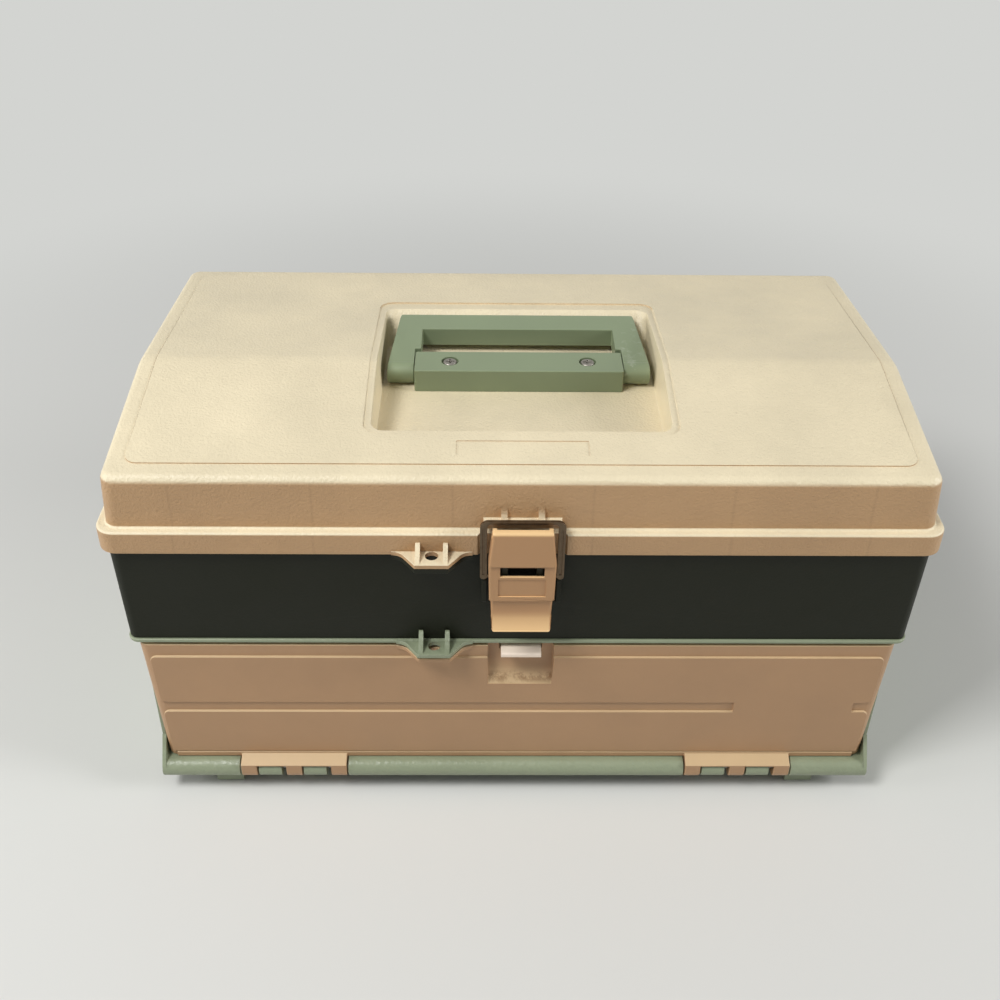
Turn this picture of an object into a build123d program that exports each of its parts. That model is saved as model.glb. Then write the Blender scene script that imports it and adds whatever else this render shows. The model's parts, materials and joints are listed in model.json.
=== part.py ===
from build123d import *
import os
from math import radians, tan

# A three-drawer tackle box: lidded upper tub, drawer cabinet and drop-down front door.
# Millimetres. X runs across the box, Y from front to back, Z up from the table.
# While the pieces are drawn, Y = 0 is the front face of the lid's brim.

# Overall outline, taken at the lid's brim
width = 460.0
depth = 268.0
corner = 11.0
clearance = 0.3
pin_play = 0.05

# Heights above the table
foot_h = 12.0
flange_top = 122.4
brim_z = 188.5

# Lid
brim_h = 14.0
brim_wall = 2.6
skirt_set_back = 4.6
skirt_corner = 8.0
lid_draft = 3.0
lid_wall = 2.6
front_edge_rise = 45.3
ridge_rise = 59.0
ridge_y = 109.5
back_edge_rise = 42.4
ridge_round = 40.0
top_edge_round = 5.5
panel_inset = 18.0
panel_raise = 0.6
panel_corner = 7.0
label_half = 36.0
label_front = 25.0
label_back = 36.8
label_depth = 0.4

# Handle recess in the lid
recess_half = 84.0
recess_front = 45.5
recess_back = 191.0
recess_rise = 33.1
recess_back_slope = 17.0
recess_draft = 1.5
recess_corner = 7.0
border_half = 87.5
border_front = 42.0
border_back = 200.0
border_depth = 0.9

# Handle bracket, grip and fasteners
bracket_half = 62.7
bracket_front = 116.0
bracket_back = 139.5
bracket_h = 14.4
screw_x = 41.5
screw_r = 2.0
screw_head_r = 4.1
screw_pocket_r = 5.2
screw_pocket_depth = 1.6
nut_r = 3.9
nut_h = 2.6
grip_pivot_y = 127.0
grip_pivot_rise = 40.6
grip_end_r = 6.8
grip_half_front = 79.3
grip_half_back = 73.5
grip_shoulder = 3.6
grip_bar_front = 165.0
grip_bar_back = 184.5
grip_bar_top = 50.3
grip_bar_bottom = 38.0
trunnion_r = 3.0
trunnion_l = 6.4
grip_reach = 15.4

# Upper tub
tub_wall = 2.6
tub_top_inset = 4.0
tub_foot_inset = 5.6
rim_gap = 0.3
plug_inset = 19.0
plug_depth = 6.9
floor_t = 2.6
tub_screw_inset = 14.5
tub_screw_side = 25.0
tub_screw_columns = 3

# Cabinet
flange_t = 2.4
flange_inset_x = 4.6
flange_inset_y = 4.2
cabinet_inset = 11.3
cabinet_wall = 2.4
cabinet_front = 10.2
cabinet_rear_inset = 6.0
base_plate_t = 2.6
cheek_top = 38.5
rib_count = 5
rib_pitch = 92.0
rib_t = 2.4
rib_drop = 3.0
foot_inset = 50.0
foot_w = 17.0
foot_l = 20.0
foot_front = 6.0
foot_rear_inset = 16.0
rail_w = 7.0
rail_t = 2.2

# Door hinge along the nose of the base
nose_r = 6.2
nose_front = -3.0
nose_wall = 2.6
knuckle_r = 6.0
door_pin_r = 1.6
hinge_x = 137.5
hinge_w = 65.0
finger_w = 9.6
knuckle_w = 14.2
knuckle_gap = 1.0
hinge_side_gap = 1.0

# Door
door_inset_top = 9.8
door_inset_foot = 14.2
door_front_top = 5.1
door_front_foot = 5.9
door_wall = 2.4
door_return = 9.7
door_gap = 2.4
door_foot_gap = 0.4
door_corner = 6.0
door_panel_raise = 1.3
door_panel_corner = 4.0
door_panel_inset = 6.6
door_panel_top = 8.6
door_panel_foot = 4.4
door_groove_top = 47.0
door_groove_foot = 39.4
door_groove_end = 130.5
door_notch_l = 12.0
pocket_half = 19.0
pocket_foot = 88.0
pocket_slope = 9.0
pocket_floor_y = 10.0
pocket_wall = 1.4
plate_top = 27.5
plate_knee = 24.3
plate_edge = 1.0
plate_rise = 1.2

# Door catch, a finger tab that is lifted to free the door
catch_x = 1.0
catch_half = 11.6
catch_front = -0.6
catch_t = 3.5
catch_tab_back = 9.4
catch_drop = 3.5
catch_pin_r = 1.0
catch_barrel_r = 2.0
catch_pivot_y = 14.6
catch_pivot_drop = 3.6
catch_nub_front = 7.0
catch_nub_h = 1.4
catch_side_gap = 0.4
catch_ear_w = 2.4
catch_tail = 3.4

# Drawers
drawer_count = 3
drawer_lift = 5.6
drawer_pitch = 28.4
drawer_h = 24.2
drawer_wall = 2.0
drawer_front = 12.5
drawer_back_gap = 3.1
drawer_side_gap = 0.6
pull_h = 7.0
pull_depth = 7.0
row_wall_y = 96.0
divider_count = 5
divider_t = 1.4
divider_drop = 3.0
divider_gap = 0.3

# Lid hinge behind the back brim
lid_hinge_y = depth + 4.0
lid_hinge_z = brim_z - 4.0
lid_knuckle_r = 4.6
lid_pin_r = 1.5
lid_hinge_x = 130.0
lid_hinge_pitch = 13.0
lid_hinge_count = 5
lid_knuckle_gap = 0.4

# Draw latch: lever, bail and the ears that carry them
notch_half = 24.3
notch_depth = 1.3
catch_ledge_half = 21.0
catch_ledge_front = -1.0
catch_ledge_top = 23.5
catch_ledge_foot = 17.8
catch_rib_x = 10.0
catch_rib_w = 3.4
catch_rib_top = 29.0
lever_y = -6.0
lever_rise = 18.0
lever_r = 4.0
lever_skin = 1.6
lever_cheek = 2.2
lever_step_in = 0.8
lever_step_depth = 1.6
lever_half_top = 16.0
lever_half_fold = 18.4
lever_half_step = 17.6
lever_half_foot = 16.4
lever_fold = 0.0
lever_step = -25.0
lever_foot = -45.0
lever_lip_front = -12.0
latch_pin_r = 1.0
ear_r = 2.1
ear_x = 9.5
ear_w = 3.6
ear_foot = -40.0
window_half = 12.0
window_top = -1.5
window_foot = -8.0
plaque_half = 13.0
plaque_top = -9.6
plaque_foot = -21.8
plaque_depth = 0.6
bail_pivot_rise = -12.5
bail_top = 24.8
bail_bar = 1.8
bail_t = 1.8
bail_inner = 19.0
bail_outer = 22.9
bail_end_r = 1.0
bail_groove_w = 1.3
bail_groove_depth = 0.5
guard_inner = 19.3
guard_outer = 21.8
guard_top = -16.5
guard_foot = -38.0
guard_front = -1.5

# Padlock tabs
lock_x = -48.9
lock_hole_r = 3.6
lock_root_half = 17.6
lock_tip_half = 9.1
lock_flare = 4.4
lock_flare_r = 8.0
lock_edge = 0.6
lock_t = 2.6
lock_rib_x = 7.5
lock_rib_w = 2.6
lid_lock_tip = -12.2
lid_lock_hole_y = -4.2
lid_lock_rib_h = 6.0
cabinet_lock_tip = -8.1
cabinet_lock_rib_h = 8.1
door_lock_tip = -6.4
door_lock_hole_y = -0.6

# Places worked out from the sizes above
cabinet_half = width / 2 - cabinet_inset
cabinet_back = depth - cabinet_rear_inset
door_half_top = width / 2 - door_inset_top
door_half_foot = width / 2 - door_inset_foot
drawer_back = cabinet_back - cabinet_wall - drawer_back_gap
panel_half = width / 2 - panel_inset
panel_front = panel_inset
panel_back = depth - panel_inset
foot_x = width / 2 - foot_inset
foot_rear = depth - foot_rear_inset
bail_y = catch_ledge_front - clearance - bail_t / 2

# The front and back of the finished box, used to centre it on the origin
box_front = min(lid_lock_tip, lever_lip_front)
box_back = lid_hinge_y + lid_knuckle_r
shift_y = -(box_front + box_back) / 2


def section(half_x, front, back, radius, z):
    """A rounded rectangle on the box's centre line at height z."""
    outline = RectangleRounded(2 * half_x, back - front, radius)
    return Pos(0, (front + back) / 2, z) * outline


def drafted(low, high):
    """A rounded block between two sections, whose walls may lean."""
    return loft([low.face(), high.face()], ruled=True)


def brim_block(z0, inset0, z1, inset1):
    """A block on the brim's outline, drawn in by one inset at z0 and another at z1."""
    sections = []
    for z, inset in ((z0, inset0), (z1, inset1)):
        radius = max(corner - inset, 2.0)
        sections.append(section(width / 2 - inset, inset, depth - inset, radius, z))
    return drafted(*sections)


def across(points, x0, x1):
    """A prism with an outline in the YZ plane, running from x0 to x1."""
    outline = make_face(Polyline(*points, close=True))
    return Pos(x0, 0, 0) * extrude(Plane.YZ * outline, x1 - x0)


def span(x0, x1, y0, y1, z0, z1):
    """A plain block between the given limits."""
    return Pos((x0 + x1) / 2, (y0 + y1) / 2, (z0 + z1) / 2) * Box(x1 - x0, y1 - y0, z1 - z0)


def rod(radius, x0, x1, y, z):
    """A round bar along X."""
    return Pos((x0 + x1) / 2, y, z) * Rot(0, 90, 0) * Cylinder(radius, x1 - x0)


def post(radius, x, y, z0, z1):
    """A round bar along Z."""
    return Pos(x, y, (z0 + z1) / 2) * Cylinder(radius, z1 - z0)


def gather(items):
    """Several separate solids kept together as one piece."""
    return Compound([solid for item in items for solid in item.solids()])


def both_sides(piece):
    """The piece and its mirror image across the box's centre line."""
    return [piece, mirror(piece, about=Plane.YZ)]


def lid_top_line(y):
    """Height of the lid's plain top surface at a given Y."""
    front_y = skirt_set_back + (front_edge_rise - brim_h) * tan(radians(lid_draft))
    back_y = depth - skirt_set_back
    if y <= ridge_y:
        slope = (ridge_rise - front_edge_rise) / (ridge_y - front_y)
    else:
        slope = (back_edge_rise - ridge_rise) / (back_y - ridge_y)
    return brim_z + ridge_rise + slope * (y - ridge_y)


def lid_roof(drop, y0, y1, half_x):
    """Everything under the lid's top surface lowered by drop, between y0 and y1."""
    low = brim_z
    line = [(y0, low), (y0, lid_top_line(y0) - drop)]
    if y0 < ridge_y < y1:
        line.append((ridge_y, lid_top_line(ridge_y) - drop))
    line += [(y1, lid_top_line(y1) - drop), (y1, low)]
    roof = across(line, -half_x, half_x)
    if y0 < ridge_y < y1:
        crease = roof.edges().filter_by(Axis.X).sort_by(Axis.Z)[-1]
        roof = fillet(crease, ridge_round)
    return roof


def lid_form(drop, inset):
    """The lid above its brim: walls that lean in under the two-pitched roof."""
    base = brim_z + brim_h / 2
    top = brim_z + ridge_rise + 15.0
    sections = []
    for z in (base, top):
        set_back = skirt_set_back + inset + (z - base) * tan(radians(lid_draft))
        sections.append(section(width / 2 - set_back, set_back, depth - set_back,
                                skirt_corner - inset, z))
    return drafted(*sections) & lid_roof(drop, -20.0, depth + 20.0, width)


def recess_block(grow):
    """The handle recess, with the lid wall's thickness added all round when grow is set."""
    floor_z = brim_z + recess_rise - grow
    top_z = brim_z + ridge_rise + 10.0
    rise = top_z - floor_z
    back_at_floor = recess_back - recess_back_slope + grow
    lean = recess_back_slope / (lid_top_line(recess_back) - brim_z - recess_rise)
    low = section(recess_half - recess_draft + grow, recess_front + recess_draft - grow,
                  back_at_floor, recess_corner + grow, floor_z)
    high = section(recess_half + grow, recess_front - grow, back_at_floor + rise * lean,
                   recess_corner + grow, top_z)
    return drafted(low, high)


def panel_prism(half_x, front, back, radius, z0, z1):
    """An upright prism with a rounded outline in plan."""
    return extrude(section(half_x, front, back, radius, z0), z1 - z0)


def lid_seat():
    """Height of the step inside the brim that rests on the tub's rim."""
    return brim_z + brim_h - lid_wall


def lid_hinge_knuckles(first):
    """X limits of every second knuckle of both lid hinges."""
    limits = []
    for side in (-1, 1):
        start = side * lid_hinge_x - lid_hinge_pitch * lid_hinge_count / 2
        for i in range(first, lid_hinge_count, 2):
            x0 = start + i * lid_hinge_pitch
            limits.append((x0 + lid_knuckle_gap / 2, x0 + lid_hinge_pitch - lid_knuckle_gap / 2))
    return limits


def lid_shell():
    """The tan lid, with its brim, handle recess, latch catch and hinge knuckles."""
    roof_z = brim_z + ridge_rise + 20.0
    skirt_z = brim_z + brim_h
    outer = lid_form(0, 0)
    top_edges = outer.edges().filter_by(lambda e: e.center().Z > skirt_z + 15)
    rim = top_edges.filter_by(lambda e: abs(e.center().X) > width / 2 - 30
                              or e.center().Y < 25 or e.center().Y > depth - 25)
    outer = fillet(rim.filter_by(lambda e: e.bounding_box().size.Z < 20), top_edge_round)
    outer += brim_block(brim_z, 0, skirt_z, 0)
    brim_rim = outer.edges().filter_by(lambda e: abs(e.center().Z - skirt_z) < 0.01
                                       and e.bounding_box().size.Z < 0.01)
    outside = brim_rim.filter_by(lambda e: abs(e.center().X) > width / 2 - 2.0 - corner / 2
                                 or e.center().Y < 2.0 or e.center().Y > depth - 2.0)
    outer = fillet([e for e in outside if e.length > 3], 1.5)

    panel = panel_prism(panel_half, panel_front, panel_back, panel_corner, brim_z + 20, roof_z)
    outer += panel & lid_roof(-panel_raise, panel_front - 5, panel_back + 5, width / 2)

    seat_z = lid_seat()
    cavity = lid_form(lid_wall, lid_wall) + brim_block(brim_z - 1, brim_wall, seat_z, brim_wall)
    inner = skirt_set_back + lid_wall
    cavity += brim_block(seat_z - 1, inner, skirt_z + 2, inner)
    recess = recess_block(0)
    shell = outer - cavity + (recess_block(lid_wall) & outer)

    border = panel_prism(border_half, border_front, border_back, recess_corner + 2,
                         brim_z + 30, roof_z)
    lowered = lid_roof(border_depth - panel_raise, border_front - 5, border_back + 5, width / 2)
    shell -= border - lowered
    shell -= recess
    label = panel_prism(label_half, label_front, label_back, 0.6, brim_z + 30, roof_z)
    shell -= label - lid_roof(label_depth - panel_raise, 0, 60, width / 2)

    shell -= latch_notch()
    shell += latch_catch()
    for x0, x1 in lid_hinge_knuckles(0):
        shell += rod(lid_knuckle_r, x0, x1, lid_hinge_y, lid_hinge_z)
        leaf = [(depth - 1, brim_z + 0.2), (depth - 1, brim_z + 9), (depth, brim_z + 9),
                (lid_hinge_y + lid_knuckle_r, lid_hinge_z), (lid_hinge_y, lid_hinge_z)]
        shell += across(leaf, x0, x1)
        shell -= rod(lid_pin_r + pin_play, x0 - 1, x1 + 1, lid_hinge_y, lid_hinge_z)
    for x in (-screw_x, screw_x):
        y = (bracket_front + bracket_back) / 2
        shell -= post(screw_r + 0.2, x, y, brim_z + recess_rise - 5, brim_z + recess_rise + 5)
    return shell


def latch_notch():
    """The shallow set-back cut in the front brim behind the latch."""
    top = brim_z + brim_h + 2
    points = [(-notch_half, 0), (-notch_half + notch_depth, notch_depth),
              (notch_half - notch_depth, notch_depth), (notch_half, 0),
              (notch_half, -3), (-notch_half, -3)]
    outline = make_face(Polyline(*points, close=True))
    return Pos(0, 0, brim_z - 1) * extrude(outline, top - brim_z + 1)


def latch_catch():
    """The ledge that the bail pulls on, and the two ribs that stiffen it."""
    root = skirt_set_back + 1.5
    nose = catch_ledge_front
    low = brim_z + catch_ledge_foot
    top = brim_z + catch_ledge_top
    ledge = across([(root, low), (root, top - 2.2), (nose + 1.4, top - 2.2), (nose + 1.4, top),
                    (nose, top), (nose, low + 1.6), (nose + 1.6, low)],
                   -catch_ledge_half, catch_ledge_half)
    for x in (-catch_rib_x, catch_rib_x):
        rib = [(root, low + 1), (root, brim_z + catch_rib_top), (nose + 2.2, top - 2.2),
               (nose + 2.2, low + 1)]
        ledge += across(rib, x - catch_rib_w / 2, x + catch_rib_w / 2)
    return ledge


def lock_plate(root_y, tip_y, z0, hole_y, sunk=0.0):
    """A padlock tab without its ribs: a tapered plate with a hole, flared at its root."""
    edge_y = root_y - lock_edge
    flare = lock_root_half + lock_flare
    right = [(flare, root_y + sunk), (flare, edge_y), (lock_root_half, edge_y),
             (lock_tip_half, tip_y)]
    left = [(-x, y) for x, y in reversed(right)]
    outline = make_face(Polyline(*right, *left, close=True))
    roots = [v for v in outline.vertices() if abs(abs(v.X) - lock_root_half) < 0.01]
    outline = fillet(roots, lock_flare_r)
    outline = fillet(outline.vertices().group_by(Axis.Y)[0], 1.0)
    plate = Pos(lock_x, 0, z0) * extrude(outline, lock_t)
    return plate - post(lock_hole_r, lock_x, hole_y, z0 - 1, z0 + lock_t + 1)


def lock_ribs(root_y, tip_y, z0, height):
    """The two gussets that stand on a padlock tab."""
    ribs = []
    for side in (-1, 1):
        x = lock_x + side * lock_rib_x
        outline = [(root_y, z0 + lock_t), (root_y, z0 + lock_t + height),
                   (root_y - 1.5, z0 + lock_t + height), (tip_y + 0.6, z0 + lock_t)]
        ribs.append(across(outline, x - lock_rib_w / 2, x + lock_rib_w / 2))
    return ribs


def lid_lock_tab():
    """Padlock tab on the lid's brim."""
    tab = lock_plate(0, lid_lock_tip, brim_z, lid_lock_hole_y)
    for rib in lock_ribs(0, lid_lock_tip, brim_z, lid_lock_rib_h):
        tab += rib
    return tab


def rim_lock_tab():
    """The tub's own tab, just under the lid's."""
    z0 = brim_z - clearance - lock_t
    tab = lock_plate(0, lid_lock_tip, z0, lid_lock_hole_y, sunk=tub_foot_inset)
    return tab - tub_outer()


def cabinet_lock_tab():
    """Padlock tab on the cabinet's flange."""
    z0 = flange_top - lock_t
    tab = lock_plate(flange_inset_y, cabinet_lock_tip, z0, door_lock_hole_y)
    for rib in lock_ribs(flange_inset_y, cabinet_lock_tip, z0, cabinet_lock_rib_h):
        tab += rib
    return tab


def door_lock_tab():
    """The door's own tab, just under the cabinet's."""
    z0 = door_top() - lock_t
    tab = lock_plate(door_front_top, door_lock_tip, z0, door_lock_hole_y, sunk=2.0)
    return tab - door_block(0)


def handle_bracket():
    """The block screwed into the recess that carries the grip."""
    floor_z = brim_z + recess_rise
    block = span(-bracket_half, bracket_half, bracket_front, bracket_back,
                 floor_z, floor_z + bracket_h)
    block = chamfer(block.edges().filter_by(Axis.Z), 0.8)
    block = fillet(block.edges().group_by(Axis.Z)[-1], 0.6)
    y = (bracket_front + bracket_back) / 2
    top = floor_z + bracket_h
    for x in (-screw_x, screw_x):
        block -= post(screw_r + 0.2, x, y, floor_z - 1, top + 1)
        block -= post(screw_pocket_r, x, y, top - screw_pocket_depth, top + 1)
    for bore in both_sides(rod(trunnion_r + pin_play, bracket_half - trunnion_l - 0.6,
                               bracket_half + 1, grip_pivot_y, brim_z + grip_pivot_rise)):
        block -= bore
    return block


def handle_screws():
    """Two pan-head screws through the bracket and the recess floor."""
    y = (bracket_front + bracket_back) / 2
    seat = brim_z + recess_rise + bracket_h - screw_pocket_depth
    screws = []
    for x in (-screw_x, screw_x):
        shank = post(screw_r, x, y, brim_z + recess_rise - lid_wall - nut_h - 1, seat + 1)
        head = post(screw_head_r, x, y, seat, seat + 1.5)
        head = fillet(head.edges().group_by(Axis.Z)[-1], 0.7)
        head -= span(x - 0.5, x + 0.5, y - 2.6, y + 2.6, seat + 0.8, seat + 3)
        head -= span(x - 2.6, x + 2.6, y - 0.5, y + 0.5, seat + 0.8, seat + 3)
        screws.append(shank + head)
    return gather(screws)


def handle_nuts():
    """The hexagon nuts under the recess floor."""
    y = (bracket_front + bracket_back) / 2
    top = brim_z + recess_rise - lid_wall
    nuts = []
    for x in (-screw_x, screw_x):
        hexagon = extrude(RegularPolygon(nut_r, 6), nut_h)
        nut = Pos(x, y, top - nut_h) * hexagon
        nuts.append(nut - post(screw_r + pin_play, x, y, top - nut_h - 1, top + 1))
    return gather(nuts)


def handle_grip():
    """The folding handle: a bar between two arms that pivot in the bracket."""
    pivot_z = brim_z + grip_pivot_rise
    top_z = brim_z + grip_bar_top
    low_z = brim_z + grip_bar_bottom
    side = make_face(Polyline((grip_pivot_y, pivot_z + grip_end_r), (grip_bar_back, top_z),
                              (grip_bar_back - 1.5, low_z + 5.0), (grip_bar_back - 7.0, low_z),
                              (grip_bar_front + 2.0, low_z), (grip_pivot_y, pivot_z - grip_end_r),
                              close=True))
    rounded = [v for v in side.vertices() if v.Y > grip_bar_front + 1]
    side = fillet(rounded, 2.2)
    side += Pos(grip_pivot_y, pivot_z) * Circle(grip_end_r)
    half = grip_half_front + 1
    body = Pos(-half, 0, 0) * extrude(Plane.YZ * side, 2 * half)
    front = grip_pivot_y - grip_end_r - 1
    plan = make_face(Polyline((-grip_half_front, front), (-grip_half_back, grip_bar_back + 1),
                              (grip_half_back, grip_bar_back + 1), (grip_half_front, front),
                              close=True))
    plan = fillet(plan.vertices().group_by(Axis.Y)[-1], 6.0)
    body = body & Pos(0, 0, low_z - 20) * extrude(plan, 60)
    gap = bracket_half + 0.4
    inner = gap - grip_shoulder
    body -= span(-inner, inner, front - 1, grip_bar_front, low_z - 20, top_z + 5)
    body -= span(-gap, gap, front - 1, grip_pivot_y + grip_reach, low_z - 20, top_z + 5)
    for pin in both_sides(rod(trunnion_r, bracket_half - trunnion_l, gap + 1,
                              grip_pivot_y, pivot_z)):
        body += pin
    return body


def tub_outer():
    """Outside of the upper tub's walls."""
    rim_top = lid_seat() - rim_gap
    lean = (tub_foot_inset - tub_top_inset) / (brim_z - flange_top)
    top_inset = tub_top_inset - (rim_top - brim_z) * lean
    return brim_block(flange_top, tub_foot_inset, rim_top, top_inset)


def tub_screw_places():
    """Where the tub is screwed down to the cabinet's top frame."""
    places = []
    outermost = width / 2 - tub_screw_side
    for i in range(tub_screw_columns):
        x = outermost * (i + 1) / tub_screw_columns
        for y in (tub_screw_inset, depth - tub_screw_inset):
            places += [(x, y), (-x, y)]
    return places


def upper_tub():
    """The dark green tub under the lid, with the latch ears and hinge knuckles."""
    rim_top = lid_seat() - rim_gap
    foot = flange_top - plug_depth
    body = tub_outer() + brim_block(foot, plug_inset, flange_top + 1, plug_inset)
    lean = (tub_foot_inset - tub_top_inset) / (brim_z - flange_top)
    top_inset = tub_top_inset - (rim_top - brim_z) * lean
    cavity = brim_block(flange_top + floor_t, tub_foot_inset + tub_wall,
                        rim_top + 1, top_inset + tub_wall)
    well = plug_inset + tub_wall
    cavity += brim_block(foot + floor_t, well, flange_top + floor_t + 1, well)
    body -= cavity
    for side in (-1, 1):
        body += latch_ear(side * ear_x)
    for guard in both_sides(latch_guard()):
        body += guard
    body -= rod(latch_pin_r + pin_play, -ear_x - ear_w, ear_x + ear_w, lever_y, brim_z + lever_rise)
    wall_back = depth - tub_top_inset - 1.0
    for x0, x1 in lid_hinge_knuckles(1):
        arm = [(wall_back, lid_hinge_z - 12), (wall_back, lid_hinge_z + 1.6),
               (lid_hinge_y, lid_hinge_z + 1.6), (lid_hinge_y, lid_hinge_z - lid_knuckle_r + 1)]
        body += across(arm, x0, x1) + rod(lid_knuckle_r, x0, x1, lid_hinge_y, lid_hinge_z)
        body -= rod(lid_pin_r + 0.02, x0 - 1, x1 + 1, lid_hinge_y, lid_hinge_z)
    for x, y in tub_screw_places():
        body -= post(screw_r + 0.2, x, y, flange_top - 1, flange_top + floor_t + 1)
    return body


def latch_ear(x):
    """One of the two ears that rise in front of the lid to hold the lever's pin."""
    pivot_z = brim_z + lever_rise
    wall = tub_foot_inset + 0.5
    skin_back = lever_y - lever_r + lever_step_in + lever_skin
    outline = [(wall, brim_z + ear_foot), (skin_back + 2.4, brim_z + lever_step + 1),
               (skin_back + clearance, brim_z + lever_fold - 4),
               (lever_y - ear_r, brim_z + lever_fold + 5), (lever_y - ear_r, pivot_z),
               (lever_y + ear_r, pivot_z), (lever_y + ear_r, brim_z - 2), (wall, brim_z - 5)]
    ear = across(outline, x - ear_w / 2, x + ear_w / 2)
    return ear + rod(ear_r, x - ear_w / 2, x + ear_w / 2, lever_y, pivot_z)


def latch_guard():
    """A low cheek beside the lever on the tub's front."""
    wall = tub_foot_inset + 0.5
    outline = [(wall, brim_z + guard_foot), (wall, brim_z + guard_top + 2),
               (guard_front, brim_z + guard_top), (guard_front, brim_z + guard_foot + 6)]
    return across(outline, guard_inner, guard_outer)


def tub_screws():
    """Flat-headed screws that hold the tub to the cabinet."""
    seat = flange_top + floor_t
    screws = []
    for x, y in tub_screw_places():
        screws.append(post(screw_r, x, y, flange_top - flange_t - 2.5, seat + 0.5)
                      + post(screw_head_r, x, y, seat, seat + 1.4))
    return gather(screws)


def axis_rods(radius, centre, length, y, z):
    """Two equal pins, one in each of a pair of hinges."""
    pins = []
    for side in (-1, 1):
        x = side * centre
        pins.append(rod(radius, x - length / 2, x + length / 2, y, z))
    return gather(pins)


def lid_hinge_pins():
    """The lid's two hinge pins."""
    return axis_rods(lid_pin_r, lid_hinge_x, lid_hinge_pitch * lid_hinge_count,
                     lid_hinge_y, lid_hinge_z)


def nose_centre():
    """The door hinge's axis, at the middle of the rounded nose."""
    return nose_front + nose_r, foot_h + nose_r


def door_hinge_pins():
    """The door's two hinge pins."""
    y, z = nose_centre()
    return axis_rods(door_pin_r, hinge_x, hinge_w + 2 * hinge_side_gap - 0.6, y, z)


def base_top():
    """Top of the base plate, level with the top of the nose."""
    return foot_h + 2 * nose_r


def hinge_knuckle_limits():
    """X limits of the base's knuckles, two in each door hinge."""
    limits = []
    gap = (hinge_w - 3 * finger_w) / 2
    for side in (-1, 1):
        left = side * hinge_x - hinge_w / 2
        for i in range(2):
            x0 = left + finger_w + i * (finger_w + gap) + knuckle_gap
            limits.append((x0, x0 + knuckle_w))
    return limits


def base_tray():
    """The base: a floor with a rounded nose, hinge knuckles, cheeks, ribs and feet."""
    top = base_top()
    pin_y, pin_z = nose_centre()
    outer = panel_prism(cabinet_half, -30, cabinet_back, 8, foot_h, top)
    outer &= span(-width, width, cabinet_front, depth, 0, top)
    channel = cabinet_half - cabinet_wall
    under = panel_prism(channel, -30, cabinet_back - cabinet_wall, 6, 0, top - base_plate_t)
    body = outer - under
    body += rod(nose_r, -cabinet_half, cabinet_half, pin_y, pin_z)
    body += span(-cabinet_half, cabinet_half, pin_y, cabinet_front + 1, foot_h, top)
    body -= span(-channel, channel, nose_front + nose_wall, cabinet_front + cabinet_wall,
                 0, top - base_plate_t)

    cheek = [(pin_y, foot_h + 0.4), (cabinet_front, foot_h + 0.4), (cabinet_front, cheek_top),
             (nose_front + 1.0, pin_z + 3.5), (nose_front + nose_r * 0.4, foot_h + 1.5)]
    for wall in both_sides(across(cheek, channel, cabinet_half)):
        body += wall
    for i in range(rib_count):
        x = (i - (rib_count - 1) / 2) * rib_pitch
        body += span(x - rib_t / 2, x + rib_t / 2, pin_y, cabinet_back - 1,
                     top - base_plate_t - rib_drop, top - 1)

    half_gap = hinge_w / 2 + hinge_side_gap
    for side in (-1, 1):
        x = side * hinge_x
        body -= span(x - half_gap, x + half_gap, nose_front - 1, pin_y + nose_r + 0.5,
                     foot_h - 1, top + 1)
    for x0, x1 in hinge_knuckle_limits():
        body += rod(knuckle_r, x0, x1, pin_y, pin_z)
        body += span(x0, x1, pin_y, cabinet_front + 4, foot_h + 0.2, top - 0.2)
        body -= rod(door_pin_r + 0.02, x0 - 1, x1 + 1, pin_y, pin_z)

    for x in (-foot_x, foot_x):
        for y in (foot_front, foot_rear - foot_l):
            block = span(x - foot_w / 2, x + foot_w / 2, y, y + foot_l, 0, top - 1)
            body += chamfer(block.edges().group_by(Axis.Z)[0], 1.5)
    return body


def cabinet_shell():
    """The drawer case: side and back walls, drawer rails, top flange and catch ears."""
    top = base_top()
    ceiling = flange_top - flange_t
    body = panel_prism(cabinet_half, -30, cabinet_back, 8, top, ceiling)
    body &= span(-width, width, cabinet_front, depth, 0, ceiling)
    side_face = cabinet_half - cabinet_wall
    body -= panel_prism(side_face, -30, cabinet_back - cabinet_wall, 6, top - 1, ceiling + 5)

    for level in range(drawer_count + 1):
        z1 = drawer_floor(level) - clearance
        rail = span(side_face - rail_w, side_face + 1, cabinet_front + 4, cabinet_back - 1,
                    z1 - rail_t, z1)
        for piece in both_sides(rail):
            body += piece

    frame = section(width / 2 - flange_inset_x, flange_inset_y, depth - flange_inset_y,
                    7, ceiling)
    frame = extrude(frame, flange_t)
    frame = fillet(frame.edges().filter_by(Axis.X).sort_by(Axis.Y)[0:2], 0.8)
    opening = plug_inset - clearance
    body += frame - brim_block(ceiling - 1, opening, flange_top + 1, opening)
    for x0 in (catch_x - catch_half - catch_side_gap - catch_ear_w,
               catch_x + catch_half + catch_side_gap):
        y, z = catch_pivot_y, catch_pivot_z()
        ear = across([(y - catch_barrel_r, z), (y - catch_barrel_r, ceiling + 1),
                      (y + catch_barrel_r, ceiling + 1), (y + catch_barrel_r, z)],
                     x0, x0 + catch_ear_w)
        ear += rod(catch_barrel_r, x0, x0 + catch_ear_w, y, z)
        body += ear - rod(catch_pin_r + 0.02, x0 - 1, x0 + catch_ear_w + 1, y, z)
    for x, y in tub_screw_places():
        body -= post(screw_r + pin_play, x, y, ceiling - 1, flange_top + 1)
    return body


def door_top():
    """Top edge of the door, under the flange."""
    return flange_top - flange_t - door_gap


def door_foot():
    """Bottom edge of the door, over the nose."""
    return base_top() + door_foot_gap


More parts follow.
